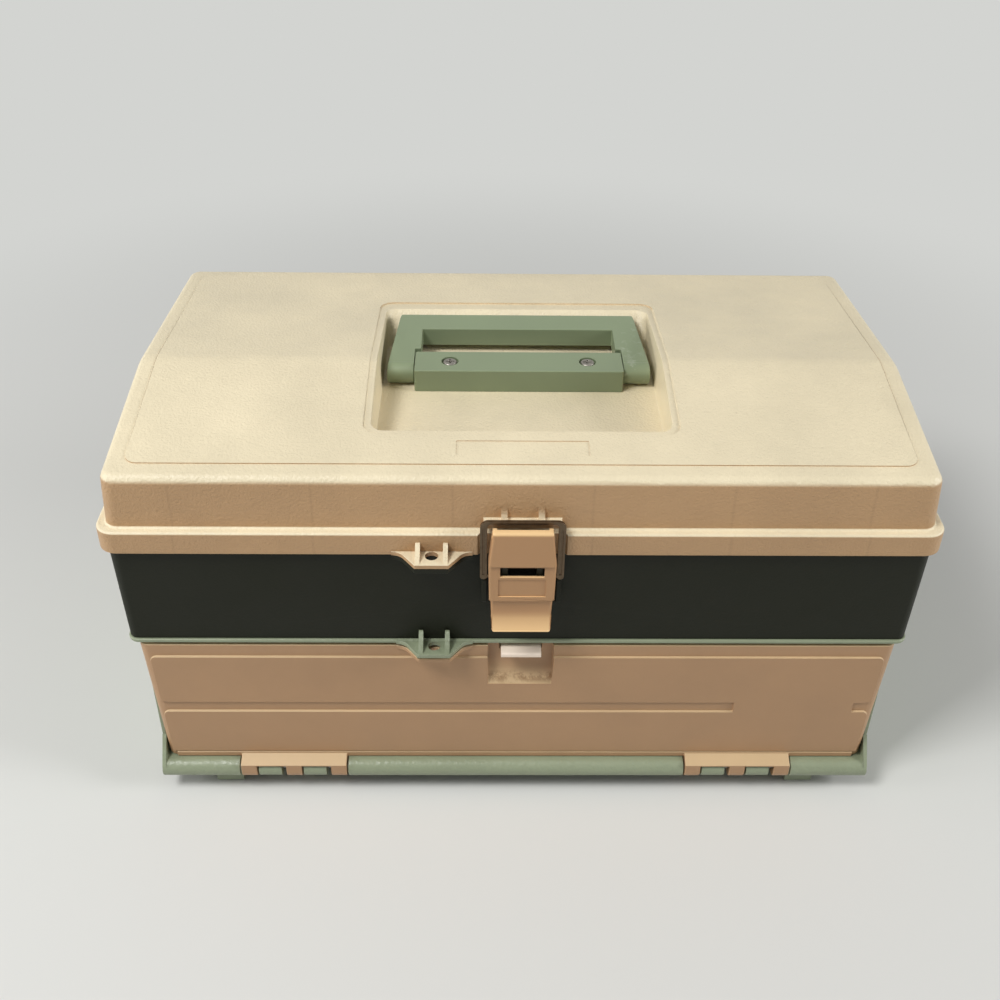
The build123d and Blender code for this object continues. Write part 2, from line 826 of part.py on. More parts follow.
def door_block(inset):
    """The door's outside, drawn in by the wall's thickness when inset is set."""
    low = section(door_half_foot - inset, door_front_foot + inset, 60, door_corner - inset,
                  door_foot())
    high = section(door_half_top - inset, door_front_top + inset, 60, door_corner - inset,
                   door_top())
    return drafted(low, high) & span(-width, width, -10, door_return, 0, flange_top)


def door_face(z):
    """The door's front face at height z."""
    share = (z - door_foot()) / (door_top() - door_foot())
    return door_front_foot + share * (door_front_top - door_front_foot)


def door_panels():
    """The raised panels: one field with a groove run in from the left."""
    low = door_foot() + door_panel_foot
    high = door_top() - door_panel_top
    groove_low = door_foot() + door_groove_foot
    groove_high = door_foot() + door_groove_top
    half_low = door_half_foot - door_panel_inset + 3.0
    half_high = door_half_top - door_panel_inset + 1.0
    field = make_face(Polyline((-half_low, low), (-half_high, high), (half_high, high),
                               (half_low, low), close=True))
    field = fillet(field.vertices().group_by(Axis.Y)[-1], door_panel_corner)
    groove_x0 = -half_high - 5
    groove = Pos((groove_x0 + door_groove_end) / 2, (groove_low + groove_high) / 2) * Rectangle(
        door_groove_end - groove_x0, groove_high - groove_low)
    notch = Pos(half_high, (groove_low + groove_high) / 2) * Rectangle(
        2 * door_notch_l, groove_high - groove_low)
    outline = field - groove - notch
    corners = [v for v in outline.vertices() if abs(v.X) > half_low - 1
               and min(abs(v.Y - groove_low), abs(v.Y - groove_high)) < 0.01]
    outline = fillet(corners, door_panel_corner)
    slab = extrude(Plane.XZ * outline, 20)
    slab = Pos(0, 12, 0) * slab
    face = across([(door_front_foot - door_panel_raise, door_foot()),
                   (door_front_top - door_panel_raise, door_top()),
                   (door_front_top + 0.5, door_top()), (door_front_foot + 0.5, door_foot())],
                  -width / 2, width / 2)
    return slab & face


def hinge_plate(x):
    """A hinge leaf at the door's foot: a sloping plate with three fingers round the pin."""
    pin_y, pin_z = nose_centre()
    front = door_front_foot - door_panel_raise
    back = door_front_foot + 1.5
    x0 = x - hinge_w / 2
    under = plate_knee - plate_edge
    leaf = [(back, plate_top), (front, plate_top), (nose_front, plate_knee),
            (nose_front, under), (nose_front + 1.6, under + 0.3),
            (pin_y + 1.0, pin_z + nose_r + plate_rise), (back, pin_z + nose_r + plate_rise)]
    plate = across(leaf, x0, x0 + hinge_w)
    gap = (hinge_w - 3 * finger_w) / 2
    for i in range(3):
        f0 = x0 + i * (finger_w + gap)
        finger = rod(nose_r, f0, f0 + finger_w, pin_y, pin_z)
        finger += across([(nose_front, pin_z), (nose_front, plate_knee),
                          (front, plate_top), (back, plate_top),
                          (pin_y + nose_r, pin_z)], f0, f0 + finger_w)
        plate += finger - rod(door_pin_r + pin_play, f0 - 1, f0 + finger_w + 1, pin_y, pin_z)
    return plate


def front_door():
    """The drop-down door that covers the drawers."""
    inner = door_block(door_wall)
    hollow = inner & span(-width, width, -10, 60, door_foot() + door_wall, door_top() - door_wall)
    hollow += Pos(0, 5, 0) * hollow
    body = door_block(0) - hollow
    body += door_panels()
    lip = across([(door_front_foot - door_panel_raise, door_foot()),
                  (door_front_foot - door_panel_raise, door_foot() + door_panel_foot - 0.8),
                  (door_front_foot + 1, door_foot() + door_panel_foot),
                  (door_front_foot + 1, door_foot())], -door_half_foot + 6, door_half_foot - 6)
    body += lip
    pocket_low = pocket_foot
    back_y = pocket_floor_y + pocket_wall
    cup = across([(door_front_foot + 1, pocket_low - 2), (back_y, pocket_low + pocket_slope - 1),
                  (back_y, door_top()), (door_front_foot + 1, door_top())],
                 catch_x - pocket_half - pocket_wall, catch_x + pocket_half + pocket_wall)
    cut = across([(-2, pocket_low), (door_face(pocket_low) - 1, pocket_low),
                  (pocket_floor_y, pocket_low + pocket_slope), (pocket_floor_y, door_top() + 1),
                  (-2, door_top() + 1)], catch_x - pocket_half, catch_x + pocket_half)
    notch_half = catch_half + 2 * catch_side_gap
    notch = span(catch_x - notch_half, catch_x + notch_half, 0, back_y + 1,
                 catch_nub_foot() - 2 * clearance, door_top() + 1)
    body = body + cup - cut - notch
    for x in (-hinge_x, hinge_x):
        body += hinge_plate(x)
    return body


def catch_pivot_z():
    """Height of the door catch's pin, under the flange."""
    return flange_top - flange_t - catch_pivot_drop


def catch_nub_foot():
    """Underside of the nub that drops in front of the door's pocket wall."""
    return flange_top - flange_t - catch_drop - catch_t - catch_nub_h


def door_catch():
    """The finger tab, its nub, and the barrel and stop behind them."""
    y, z = catch_pivot_y, catch_pivot_z()
    ceiling = flange_top - flange_t
    top = ceiling - catch_drop
    foot = top - catch_t
    back = catch_tab_back
    outline = make_face(Polyline((catch_front, foot), (catch_front, top), (back, top),
                                 (y, z + catch_barrel_r), (y + catch_tail, ceiling - clearance),
                                 (y + catch_tail, ceiling - 2.2), (y, z - catch_barrel_r),
                                 (back, foot), (back, catch_nub_foot()),
                                 (catch_nub_front + 1.2, catch_nub_foot()),
                                 (catch_nub_front, foot), close=True))
    outline = fillet(outline.vertices().group_by(Axis.X)[0], 1.2)
    x0 = catch_x - catch_half
    body = Pos(x0, 0, 0) * extrude(Plane.YZ * outline, 2 * catch_half)
    body += rod(catch_barrel_r, x0, x0 + 2 * catch_half, y, z)
    return body - rod(catch_pin_r + pin_play, x0 - 1, x0 + 2 * catch_half + 1, y, z)


def catch_pin():
    """The pin between the flange's ears that the catch turns on."""
    reach = catch_half + catch_side_gap + catch_ear_w
    return rod(catch_pin_r, catch_x - reach, catch_x + reach, catch_pivot_y, catch_pivot_z())


def drawer_floor(level):
    """Underside of a drawer; level 0 is the lowest."""
    return base_top() + drawer_lift + level * drawer_pitch


def drawer(level):
    """One drawer, with a pull moulded under its front and a wall between its two rows."""
    z0 = drawer_floor(level)
    half = cabinet_half - cabinet_wall - drawer_side_gap
    body = panel_prism(half, drawer_front, drawer_back, 4, z0, z0 + drawer_h)
    body -= span(-half - 1, half + 1, drawer_front - 1, drawer_front + pull_depth,
                 z0 - 1, z0 + pull_h)
    wall = drawer_wall
    inside = panel_prism(half - wall, drawer_front + wall, drawer_back - wall, 2.5,
                         z0 + wall, z0 + drawer_h + 1)
    inside -= span(-half, half, drawer_front, drawer_front + pull_depth + wall,
                   z0 - 1, z0 + pull_h + wall)
    body -= inside
    body += span(-half + 1, half - 1, row_wall_y, row_wall_y + wall, z0 + 1,
                 z0 + drawer_h - divider_drop)
    for x in divider_places():
        for side in (-1, 1):
            edge = x + side * (divider_t / 2 + divider_gap)
            outer = edge + side * 1.2
            slot = span(min(edge, outer), max(edge, outer), row_wall_y - 1.6, row_wall_y + 1,
                        z0 + 1, z0 + drawer_h - divider_drop)
            body += slot
    return body


def divider_places():
    """X places of the loose dividers in a drawer's front row."""
    half = cabinet_half - cabinet_wall - drawer_side_gap - drawer_wall
    step = 2 * half / (divider_count + 1)
    return [-half + step * (i + 1) for i in range(divider_count)]


def drawer_dividers(level):
    """The loose plates that split a drawer's front row."""
    z0 = drawer_floor(level) + drawer_wall
    y0 = drawer_front + drawer_wall + divider_gap
    step_y = drawer_front + pull_depth + drawer_wall + divider_gap
    step_z = z0 + pull_h + divider_gap
    y1 = row_wall_y - divider_gap
    top = z0 + drawer_h - drawer_wall - divider_drop
    outline = [(step_y, z0), (y1, z0), (y1, top), (y0, top), (y0, step_z), (step_y, step_z)]
    return gather([across(outline, x - divider_t / 2, x + divider_t / 2)
                   for x in divider_places()])


def lever_half(rise):
    """Half width of the latch lever at a height above the brim's underside."""
    if rise > lever_fold:
        share = (rise - lever_fold) / (lever_rise - lever_fold)
        return lever_half_fold + share * (lever_half_top - lever_half_fold)
    share = (rise - lever_foot) / (lever_fold - lever_foot)
    return lever_half_foot + share * (lever_half_fold - lever_half_foot)


def lever_outline():
    """Front view of the lever, as a prism through its depth."""
    top = lever_rise + lever_r + 1
    points = [(lever_half_top, top), (lever_half_fold, lever_fold),
              (lever_half_step + 0.3, lever_step), (lever_half_step - 0.5, lever_step - 0.5),
              (lever_half_foot, lever_foot)]
    right = [(x, brim_z + z) for x, z in points]
    left = [(-x, z) for x, z in reversed(right)]
    return Pos(0, 30, 0) * extrude(Plane.XZ * make_face(Polyline(*right, *left, close=True)), 60)


def latch_lever():
    """The tan lever: a channel with a thumb lip, hung on the pin at its top."""
    y0 = lever_y - lever_r
    fold_y = y0 - 0.6
    low_y = y0 + lever_step_in
    step_y = low_y + lever_step_depth
    z = brim_z
    front = [(y0, z + lever_rise), (fold_y, z + lever_fold), (low_y, z + lever_fold - 0.8),
             (low_y, z + lever_step), (step_y, z + lever_step - 0.4),
             (step_y - 0.3, z + lever_step - 7), (step_y - 2.6, z + lever_step - 13),
             (lever_lip_front + 0.8, z + lever_foot + 0.8), (lever_lip_front, z + lever_foot)]
    back = [(lever_lip_front + 2.6, z + lever_foot), (step_y + 0.6, z + lever_step - 12),
            (-3.4, z + lever_step - 7), (bail_y + 3.4, z + bail_pivot_rise - 4),
            (bail_y + 3.4, z + bail_pivot_rise + 4), (lever_y + lever_r, z + lever_rise)]
    solid = across(front + back, -lever_half_fold - 1, lever_half_fold + 1)
    solid += rod(lever_r, -lever_half_fold - 1, lever_half_fold + 1, lever_y, z + lever_rise)
    solid &= lever_outline()

    inner = lever_half_foot - lever_cheek
    inner_top = lever_half_top - lever_cheek
    skin = lever_skin
    hollow = [(y0 + skin, z + lever_rise), (y0 + skin, z + lever_fold),
              (low_y + skin, z + lever_fold - 2), (low_y + skin, z + lever_step),
              (step_y + skin, z + lever_step - 1), (step_y + skin, z + lever_step - 9),
              (8, z + lever_step - 9), (8, z + lever_rise)]
    half = min(inner, inner_top)
    solid -= across(hollow, -half, half)
    bore = rod(lever_r - skin, -half, half, lever_y, z + lever_rise)
    opening = span(-half, half, lever_y, 8, z + lever_rise, z + lever_rise + lever_r + 1)
    solid -= bore + opening
    solid -= span(-window_half, window_half, lever_lip_front, low_y + skin + 1,
                  z + window_foot, z + window_top)
    solid -= span(-plaque_half, plaque_half, lever_lip_front, low_y + plaque_depth,
                  z + plaque_foot, z + plaque_top)
    solid -= rod(latch_pin_r + pin_play, -width / 4, width / 4, lever_y, z + lever_rise)
    solid -= rod(bail_end_r + pin_play, -width / 4, width / 4, bail_y, z + bail_pivot_rise)
    return solid


def latch_pin():
    """The steel pin that the lever turns on."""
    return rod(latch_pin_r, -lever_half_top - 0.2, lever_half_top + 0.2, lever_y,
               brim_z + lever_rise)


def latch_bail():
    """The pressed steel bail that pulls down on the lid's catch."""
    z_low = brim_z + bail_pivot_rise
    z_top = brim_z + bail_top
    foot_r = (bail_outer - bail_inner) / 2
    outer = make_face(Polyline((-bail_outer, z_low), (-bail_outer, z_top), (bail_outer, z_top),
                               (bail_outer, z_low), close=True))
    outer = fillet(outer.vertices().group_by(Axis.Y)[-1], 4.5)
    inner = make_face(Polyline((-bail_inner, z_low - 5), (-bail_inner, z_top - bail_bar),
                               (bail_inner, z_top - bail_bar), (bail_inner, z_low - 5),
                               close=True))
    inner = fillet(inner.vertices().group_by(Axis.Y)[-1], 2.0)
    frame = extrude(Plane.XZ * (outer - inner), bail_t / 2, both=True)
    frame = Pos(0, bail_y, 0) * frame
    middle = (bail_outer + bail_inner) / 2
    for x in (-middle, middle):
        frame += Pos(x, bail_y, z_low) * Rot(90, 0, 0) * Cylinder(foot_r, bail_t)
        frame -= span(x - bail_groove_w / 2, x + bail_groove_w / 2, bail_y - bail_t,
                      bail_y - bail_t / 2 + bail_groove_depth, z_low + 1, z_top - 5)
    for end in both_sides(rod(bail_end_r, lever_half_foot - lever_cheek + 0.4, bail_inner + 0.6,
                              bail_y, z_low)):
        frame += end
    return frame


drawer_names = ("bottom", "middle", "top")
pieces = {
    "lid_shell": lid_shell,
    "lid_lock_tab": lid_lock_tab,
    "handle_bracket": handle_bracket,
    "handle_screws": handle_screws,
    "handle_nuts": handle_nuts,
    "handle_grip": handle_grip,
    "upper_tub": upper_tub,
    "rim_lock_tab": rim_lock_tab,
    "tub_screws": tub_screws,
    "lid_hinge_pins": lid_hinge_pins,
    "base_tray": base_tray,
    "cabinet_shell": cabinet_shell,
    "cabinet_lock_tab": cabinet_lock_tab,
    "door_hinge_pins": door_hinge_pins,
    "front_door": front_door,
    "door_lock_tab": door_lock_tab,
    "door_catch": door_catch,
    "catch_pin": catch_pin,
    "latch_lever": latch_lever,
    "latch_pin": latch_pin,
    "latch_bail": latch_bail,
}

os.makedirs("parts", exist_ok=True)
place = Pos(0, shift_y, 0)
for name, make in pieces.items():
    export_step(place * make(), f"parts/{name}.step")
for level, name in enumerate(drawer_names[:drawer_count]):
    export_step(place * drawer(level), f"parts/drawer_{name}.step")
    export_step(place * drawer_dividers(level), f"parts/dividers_{name}.step")
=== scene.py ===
"""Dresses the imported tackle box: finishes, rounded mouldings, studio stage and camera."""

import json
import math

import bmesh
import bpy
from bpy.props import FloatProperty, FloatVectorProperty, PointerProperty
from mathutils import Matrix, Vector


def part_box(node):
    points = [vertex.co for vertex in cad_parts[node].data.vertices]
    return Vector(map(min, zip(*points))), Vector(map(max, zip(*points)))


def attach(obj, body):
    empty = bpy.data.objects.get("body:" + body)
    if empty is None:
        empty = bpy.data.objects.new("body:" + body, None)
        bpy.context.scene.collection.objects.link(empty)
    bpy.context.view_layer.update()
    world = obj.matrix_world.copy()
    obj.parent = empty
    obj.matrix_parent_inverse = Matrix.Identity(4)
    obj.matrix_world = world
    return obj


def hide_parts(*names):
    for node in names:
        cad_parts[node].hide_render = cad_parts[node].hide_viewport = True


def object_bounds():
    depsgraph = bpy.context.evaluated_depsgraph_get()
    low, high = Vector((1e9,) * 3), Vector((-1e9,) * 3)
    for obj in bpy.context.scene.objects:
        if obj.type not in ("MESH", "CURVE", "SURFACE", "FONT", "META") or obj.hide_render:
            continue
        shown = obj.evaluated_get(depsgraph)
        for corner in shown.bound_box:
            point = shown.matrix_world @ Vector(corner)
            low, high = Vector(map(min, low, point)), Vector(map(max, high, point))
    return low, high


bl_info = {
    "name": "Tackle Box Finish",
    "version": (1, 0, 0),
    "blender": (4, 5, 0),
    "location": "View3D > Sidebar > Tackle Box",
    "description": "Gives the moulded tackle box its finishes, small details and studio stage",
    "category": "Object",
}

MM = 0.001
SHARP = math.radians(50)      # an edge this sharp or sharper gets a moulded radius
CROWDED = math.radians(40)    # but not where another sharp edge leaves its end this close
SMALL_RIM = 16 * MM           # and not where it is part of a smaller rim, such as a hole's
FLAT = 0.9999                 # neighbouring faces whose normals agree this well lie flat
FLAT_FACES = 60               # how many of them are looked at from one edge
ROOM = 2.1                    # radii of flat face that an edge needs on both its sides
SMOOTH = math.radians(40)     # faces that meet at less than this are shaded as one
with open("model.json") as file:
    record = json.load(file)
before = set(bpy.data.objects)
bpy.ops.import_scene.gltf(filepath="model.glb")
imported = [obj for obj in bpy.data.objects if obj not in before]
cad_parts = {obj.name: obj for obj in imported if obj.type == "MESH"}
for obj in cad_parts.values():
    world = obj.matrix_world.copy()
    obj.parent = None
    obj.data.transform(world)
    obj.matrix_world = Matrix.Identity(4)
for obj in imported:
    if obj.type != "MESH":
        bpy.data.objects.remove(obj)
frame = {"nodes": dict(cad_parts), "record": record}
cad_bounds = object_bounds()
NODES = frame["nodes"]
RECORD = frame["record"]
BODY_OF = {name: body for body, names in RECORD["behaviour"]["bodies"].items() for name in names}


def linear(hex_code):
    """An sRGB hex colour as the linear red, green and blue that shaders use."""
    channels = []
    for i in (1, 3, 5):
        value = int(hex_code[i:i + 2], 16) / 255
        channels.append(value / 12.92 if value <= 0.04045 else ((value + 0.055) / 1.055) ** 2.4)
    return tuple(channels)


def colour_property(name, description, hex_code):
    """A colour swatch whose default is an sRGB hex value."""
    return FloatVectorProperty(name=name, description=description, subtype="COLOR",
                               min=0, max=1, default=linear(hex_code))


def length_property(name, description, millimetres):
    """A length whose default is given in millimetres."""
    return FloatProperty(name=name, description=description, unit="LENGTH",
                         subtype="DISTANCE", min=0, default=millimetres * MM)


class BoxColours(bpy.types.PropertyGroup):
    """Colours of the box's plastics and metals."""
    # Painted light and shade: the two tans below are one plastic, drawn paler on the lid's upward
    # faces as lit from above and darker on its upright faces as shaded, not bleached by the sun.
    tan_lit_top: colour_property("Tan, upward faces", "Sun-bleached top of the lid", "#EDDFBE")
    tan_shaded_side: colour_property("Tan, upright faces", "Skirt and brim of the lid", "#BA966E")
    tan_stain: colour_property("Tan stain", "Grime in pockets and corners", "#7E5A36")
    # Painted light and shade: the two door tans are one plastic, paler on upward ledges as lit and
    # darker on upright faces as shaded.
    door_lit_top: colour_property("Tan, door ledges", "Upward ledges of the door", "#CBB089")
    door_shaded_side: colour_property("Tan, door", "Upright faces of the door", "#B18C68")
    sage: colour_property("Sage", "Handle and its bracket", "#8B9878")
    # Painted shade: the upright sage is the handle's sage drawn darker as shaded.
    sage_side: colour_property("Sage, upright faces", "Shaded faces of the handle", "#7C886A")
    scuff: colour_property("Scuff", "Pale rubbed marks on the handle", "#B3BAA4")
    sage_cabinet: colour_property("Sage, cabinet", "Drawer case and base", "#8C957A")
    olive: colour_property("Dark olive", "The band of the upper tub", "#1B1D12")
    cream: colour_property("Cream", "Drawers", "#E2D8BC")
    # Partly painted light: the catch's pinkish cream is drawn near white, paler than the plastic,
    # to stand in for light that the flange shades off it.
    catch: colour_property("Pinkish cream", "The door's finger catch", "#FBE9D6")
    latch: colour_property("Tan, latch", "Lever of the draw latch", "#B58B62")
    # Painted light: the lever's upward edges are its tan drawn much paler as lit from above.
    latch_lit_top: colour_property("Tan, latch edges", "Upward edges of the lever", "#F0C993")
    divider: colour_property("Clear", "The drawers' dividers", "#EEF3F2")
    steel: colour_property("Zinc plate", "Pins, nuts and screws", "#B4AFA6")
    steel_dull: colour_property("Zinc plate, dulled", "Clouds in the zinc plate", "#7F7972")
    # Partly painted shade: the bail's two steels are browned and dulled, and also drawn darker for
    # the shade it sits in under the lid's brim.
    bail_steel: colour_property("Dulled steel", "The latch's bail", "#80705C")
    bail_dull: colour_property("Dulled steel, dark", "Clouds in the bail's steel", "#4A3E34")
    floor: colour_property("Floor", "The plain studio floor", "#DCDCD8")
    surround: colour_property("Surround", "Backdrop, and the floor far from the box", "#D3D4D1")
    ambient: colour_property("Soft light", "Light that comes from all around", "#F2F4F6")


class BoxSizes(bpy.types.PropertyGroup):
    """Sizes of the moulded texture and the softened edges."""
    grain: length_property("Grain", "Width of one pebble of the moulded texture", 1.5)
    edge: length_property("Edge radius", "Radius of the large mouldings' edges", 0.5)
    fine_edge: length_property("Fine edge radius", "Radius of the small mouldings' edges", 0.3)
    lever_edge: length_property("Lever edge radius", "Radius down the lever's long edges", 1.3)
    mottle: length_property("Mottle", "Width of the faint patches in the plastic", 55.0)
    speck: length_property("Speck spacing", "Distance between dust specks", 30.0)
    key_height: length_property("Key light height", "Height of the main light", 1700.0)
    key_size: length_property("Key light size", "Width of the main light", 600.0)
    side_size: length_property("Side light size", "Width of the two side lights", 600.0)
    fade_start: length_property("Fade start", "Where the floor begins to take the surround's tone",
                                380.0)
    fade_end: length_property("Fade end", "Where the floor has the surround's tone", 950.0)


def colours():
    """The colours set in the panel."""
    return bpy.context.scene.tackle_box_colours


def sizes():
    """The sizes set in the panel."""
    return bpy.context.scene.tackle_box_sizes


def node(tree, kind, inputs=None, links=None, **settings):
    """Adds a shader node, sets its properties and sockets, and links other nodes' outputs to it."""
    new = tree.nodes.new("ShaderNode" + kind)
    for key, value in settings.items():
        setattr(new, key, value)
    for key, value in (inputs or {}).items():
        new.inputs[key].default_value = value
    for key, (source, output) in (links or {}).items():
        tree.links.new(source.outputs[output], new.inputs[key])
    return new


def new_material(name):
    """An empty node material with its output, and the tree to build in."""
    material = bpy.data.materials.new(name)
    material.use_nodes = True
    tree = material.node_tree
    tree.nodes.clear()
    return material, tree


def rgba(colour):
    """A colour with full alpha."""
    return (*colour, 1.0)


def soft_box(tree, place, low, high, fade):
    """A mask that is 1 inside a box, given by two corners in millimetres, and fades out past it."""
    middle = (Vector(low) + Vector(high)) / 2 * MM
    half = (Vector(high) - Vector(low)) / 2 * MM
    offset = node(tree, "VectorMath", {1: middle}, {0: (place, "Object")}, operation="SUBTRACT")
    distance = node(tree, "VectorMath", links={0: (offset, 0)}, operation="ABSOLUTE")
    past = node(tree, "VectorMath", {1: half}, {0: (distance, 0)}, operation="SUBTRACT")
    axes = node(tree, "SeparateXYZ", links={0: (past, 0)})
    wider = node(tree, "Math", links={0: (axes, "X"), 1: (axes, "Y")}, operation="MAXIMUM")
    widest = node(tree, "Math", links={0: (wider, 0), 1: (axes, "Z")}, operation="MAXIMUM")
    return node(tree, "MapRange", {"From Min": 0.0, "From Max": fade * MM, "To Min": 1.0,
                                   "To Max": 0.0}, {"Value": (widest, 0)})


def moulded_plastic(name, upward, upright, stain, roughness, grain_depth, specks=0.3,
                    mottle=0.06, pebble=1.0, sheen=0.5, painted_light_region=None, grime=None, flow_lines=None):
    """Injection-moulded plastic: an etched mould leaves a pebbled skin with a soft sheen."""
    material, tree = new_material(name)
    size = sizes()
    place = node(tree, "TexCoord")
    # Painted light and shade: where the upward and upright colours differ, faces that look up take
    # the paler, lit one and upright faces the darker, shaded one.
    facing = node(tree, "SeparateXYZ", links={0: (place, "Normal")})
    painted_light_share = node(tree, "MapRange", {"From Min": 0.1, "From Max": 0.6}, {"Value": (facing, "Z")},
                  interpolation_type="SMOOTHSTEP")
    # Painted light: inside the given region every face that does not look down takes the paler, lit
    # upward colour.
    if painted_light_region:
        region = soft_box(tree, place, *painted_light_region, 1.0)
        outside = node(tree, "MapRange", {"From Min": -0.02, "From Max": 0.02},
                       {"Value": (facing, "Z")})
        pale = node(tree, "Math", links={0: (region, "Result"), 1: (outside, "Result")},
                    operation="MULTIPLY")
        painted_light_share = node(tree, "Math", links={0: (painted_light_share, "Result"), 1: (pale, 0)},
                      operation="MAXIMUM")
    base = node(tree, "Mix", {6: rgba(upright), 7: rgba(upward)}, {0: (painted_light_share, 0)},
                data_type="RGBA")
    # Faint lines run down the sides where the streams of resin met in the mould.
    if flow_lines:
        spot = node(tree, "SeparateXYZ", links={0: (place, "Object")})
        line = node(tree, "Math", {1: flow_lines * MM}, {0: (spot, "X")}, operation="PINGPONG")
        shade = node(tree, "MapRange", {"From Min": (flow_lines - 1.2) * MM,
                                        "From Max": flow_lines * MM, "To Min": 1.0,
                                        "To Max": 0.92}, {"Value": (line, 0)})
        side = node(tree, "VectorMath", {0: upright}, {1: (shade, "Result")},
                    operation="MULTIPLY")
        tree.links.new(side.outputs[0], base.inputs[6])
    # Resin and handling leave broad, faint patches.
    patches = node(tree, "TexNoise", {"Scale": 1 / size.mottle, "Detail": 4.0, "Roughness": 0.6},
                   {"Vector": (place, "Object")})
    patch_level = node(tree, "MapRange", {"From Min": 0.3, "From Max": 0.7,
                                          "To Min": 1 - mottle, "To Max": 1 + mottle / 2},
                       {"Value": (patches, "Fac")})
    colour = node(tree, "VectorMath", links={0: (base, 2), 1: (patch_level, "Result")},
                  operation="MULTIPLY")
    # A few brown specks of dust, half a millimetre wide, sit in the grain.
    dust = node(tree, "TexVoronoi", {"Scale": 1 / size.speck}, {"Vector": (place, "Object")})
    near = node(tree, "MapRange", {"From Min": 0.008, "From Max": 0.016, "To Min": specks,
                                   "To Max": 0.0}, {"Value": (dust, "Distance")})
    colour = node(tree, "Mix", {7: rgba(stain)}, {0: (near, "Result"), 6: (colour, 0)},
                  data_type="RGBA")
    # Brown grime gathers where a finger reaches in and a cloth does not.
    if grime:
        *region_corners, patchy = grime
        region = soft_box(tree, place, *region_corners, 2.5)
        blot = node(tree, "TexNoise", {"Scale": 1 / (7 * MM), "Detail": 5.0, "Roughness": 0.7},
                    {"Vector": (place, "Object")})
        blotted = node(tree, "MapRange", {"From Min": patchy, "From Max": patchy + 0.16,
                                          "To Max": 0.8},
                       {"Value": (blot, "Fac")})
        amount = node(tree, "Math", links={0: (region, "Result"), 1: (blotted, "Result")},
                      operation="MULTIPLY")
        colour = node(tree, "Mix", {7: rgba(stain)}, {0: (amount, 0), 6: (colour, 2)},
                      data_type="RGBA")
    # The pebbled grain of the mould, drawn about twice as coarse as it is, so that it shows.
    pebbles = node(tree, "TexNoise", {"Scale": 1 / (size.grain * pebble), "Detail": 2.0,
                                      "Roughness": 0.55}, {"Vector": (place, "Object")})
    bump = node(tree, "Bump", {"Strength": 0.6, "Distance": grain_depth},
                {"Height": (pebbles, "Fac")})
    rub = node(tree, "MapRange", {"From Min": 0.35, "From Max": 0.7, "To Min": roughness - 0.05,
                                  "To Max": roughness + 0.07}, {"Value": (patches, "Fac")})
    shader = node(tree, "BsdfPrincipled", {"IOR": 1.49, "Specular IOR Level": sheen},
                  {"Base Color": (colour, 2), "Roughness": (rub, "Result"),
                   "Normal": (bump, "Normal")})
    node(tree, "OutputMaterial", links={"Surface": (shader, "BSDF")})
    return material


def corners(name, low=(0.0, 0.0, 0.0), high=(0.0, 0.0, 0.0)):
    """The corners of a CAD node's box in millimetres, each moved by the offset given for it."""
    lowest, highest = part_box(name)
    return (tuple(lowest[i] / MM + low[i] for i in range(3)),
            tuple(highest[i] / MM + high[i] for i in range(3)))


def tan_polypropylene():
    """Tan moulded polypropylene of the lid: pebbled, with painted light making it paler on top and
    painted shade making it warmer on the sides.
    """
    c = colours()
    # Painted light: the handle's recess takes the lid's paler top colour on every face that does
    # not look down.
    recess = corners("handle_grip", low=(-18, -80, -40), high=(18, 18, 14))
    return moulded_plastic("tan_moulded_polypropylene", c.tan_lit_top, c.tan_shaded_side, c.tan_stain,
                           0.42, 0.0009, mottle=0.08, painted_light_region=recess, flow_lines=37.5)


def door_polypropylene():
    """Tan moulded polypropylene of the door: finer grained, grimy in the pocket."""
    c = colours()
    pocket = corners("door_catch", low=(-8, 7, -24), high=(8, 4, -27))
    # Painted light and shade: the door's upward ledges take the paler, lit tan and its upright
    # faces the darker, shaded tan.
    return moulded_plastic("door_moulded_polypropylene", c.door_lit_top, c.door_shaded_side, c.tan_stain,
                           0.40, 0.00012, specks=0.15,
                           grime=(*pocket, 0.42))


def latch_polypropylene():
    """Tan moulded polypropylene of the lever: polished by thumbs, so smoother, with painted light
    making its upward edges paler.
    """
    c = colours()
    return moulded_plastic("latch_moulded_polypropylene", c.latch_lit_top, c.latch, c.tan_stain,
                           0.36, 0.00005, specks=0.1, mottle=0.03)


def sage_polypropylene():
    """Sage moulded polypropylene of the handle: smoother, with a low sheen."""
    c = colours()
    right_arm = corners("handle_grip", low=(142, 0, 4), high=(0, -8, 0))
    return moulded_plastic("sage_moulded_polypropylene", c.sage, c.sage_side, c.scuff,
                           0.38, 0.00006, specks=0.4, mottle=0.05,
                           grime=(*right_arm, 0.56))


def cabinet_polypropylene():
    """Sage moulded polypropylene of the drawer case: a leathery grain that glints."""
    c = colours()
    return moulded_plastic("cabinet_moulded_polypropylene", c.sage_cabinet, c.sage_cabinet,
                           c.olive, 0.42, 0.0008, specks=0.1, pebble=2.2, sheen=0.7)


def olive_polypropylene():
    """Dark olive moulded polypropylene: a coarse pebble that breaks up the sheen."""
    c = colours()
    return moulded_plastic("olive_moulded_polypropylene", c.olive, c.olive, c.sage,
                           0.55, 0.00016, specks=0.15, sheen=0.24)


def cream_polystyrene():
    """Cream moulded polystyrene of the drawers: smooth, with a brighter sheen."""
    c = colours()
    return moulded_plastic("cream_moulded_polystyrene", c.cream, c.cream, c.tan_stain,
                           0.34, 0.00003, specks=0.1, mottle=0.03)


def catch_acetal():
    """Pinkish cream acetal of the door's catch: smooth and slightly waxy, drawn near white as
    painted light.
    """
    c = colours()
    return moulded_plastic("cream_moulded_acetal", c.catch, c.catch, c.tan_stain,
                           0.34, 0.00003, specks=0.1, mottle=0.03)


